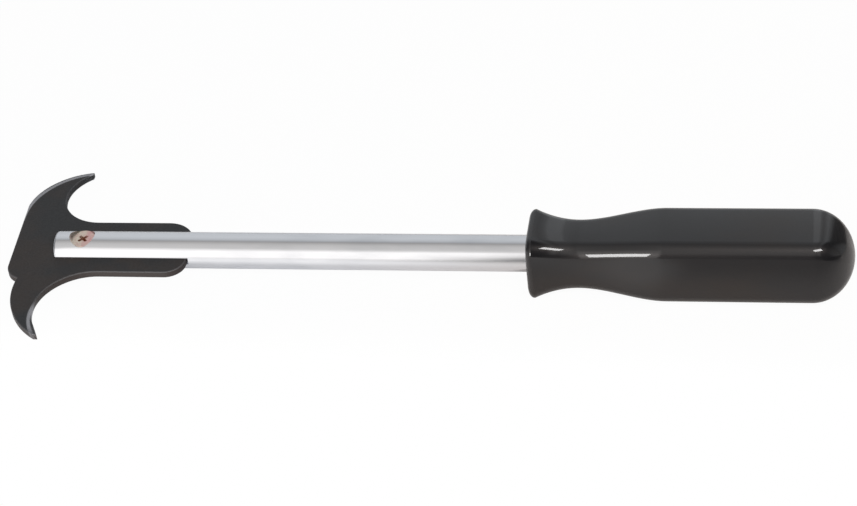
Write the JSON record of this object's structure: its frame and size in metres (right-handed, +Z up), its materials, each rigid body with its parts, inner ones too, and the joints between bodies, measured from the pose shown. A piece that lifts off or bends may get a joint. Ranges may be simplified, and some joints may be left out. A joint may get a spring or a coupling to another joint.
{
  "type": "seal puller",
  "caption": "Hand tool that levers seals out of a bore: flat plate with a small and a large hook, screwed in a slotted round shaft with a moulded square handle.",
  "frame": {"origin": "on the table, below the middle of the tool's bounding box", "axes": "+X along the tool from the hooks to the handle, +Y across the plate to the small hook, +Z up from the table"},
  "size_m": [0.3015, 0.0936, 0.0287],
  "materials": {
    "black_steel": "satin black steel with bare worn edges",
    "bright_plate": "bright plated bar",
    "yellow_plate": "yellow plated steel",
    "black_plastic": "glossy moulded black plastic"
  },
  "bodies": {
    "root": {"hook_plate": "black_steel", "shaft": "bright_plate", "retaining_screw": "yellow_plate", "handle": "black_plastic"}
  },
  "joints": []
}
